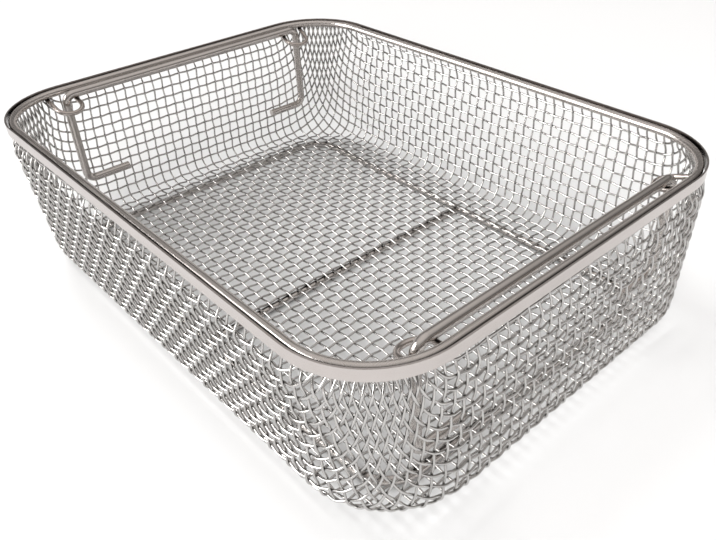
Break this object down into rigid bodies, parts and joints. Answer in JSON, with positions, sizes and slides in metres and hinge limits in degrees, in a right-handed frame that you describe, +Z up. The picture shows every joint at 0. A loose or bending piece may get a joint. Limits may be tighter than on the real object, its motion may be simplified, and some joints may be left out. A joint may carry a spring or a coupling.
{
  "type": "autoclave basket",
  "caption": "Deep woven-wire sterilising basket with a banded rim, a rod base ring with a cross bar, and two drop handles that slide up through wire eyes.",
  "frame": {"origin": "on the ground under the middle of the basket", "axes": "+X along the length, towards the right handle, +Y across, +Z up"},
  "size_m": [0.309, 0.234, 0.084],
  "materials": {
    "woven_wire": "bright drawn stainless wire, electropolished",
    "rim_strip": "rolled stainless strip, polished",
    "rod": "drawn stainless rod, electropolished",
    "handle_rod": "drawn stainless rod, polished"
  },
  "bodies": {
    "basket": {"mesh_tub": "woven_wire", "rim_band": "rim_strip", "rim_rod": "rod", "base_ring": "rod", "base_bar": "rod", "eye_left_near": "rod", "eye_left_far": "rod", "eye_right_near": "rod", "eye_right_far": "rod"},
    "left_handle": {"handle_left": "handle_rod"},
    "right_handle": {"handle_right": "handle_rod"}
  },
  "joints": [
    {"name": "left_handle_slide", "type": "slide", "parent": "basket", "child": "left_handle", "axis": [0, 0, 1], "range_m": [0, 0.0435]},
    {"name": "right_handle_slide", "type": "slide", "parent": "basket", "child": "right_handle", "axis": [0, 0, 1], "range_m": [0, 0.0435]}
  ]
}
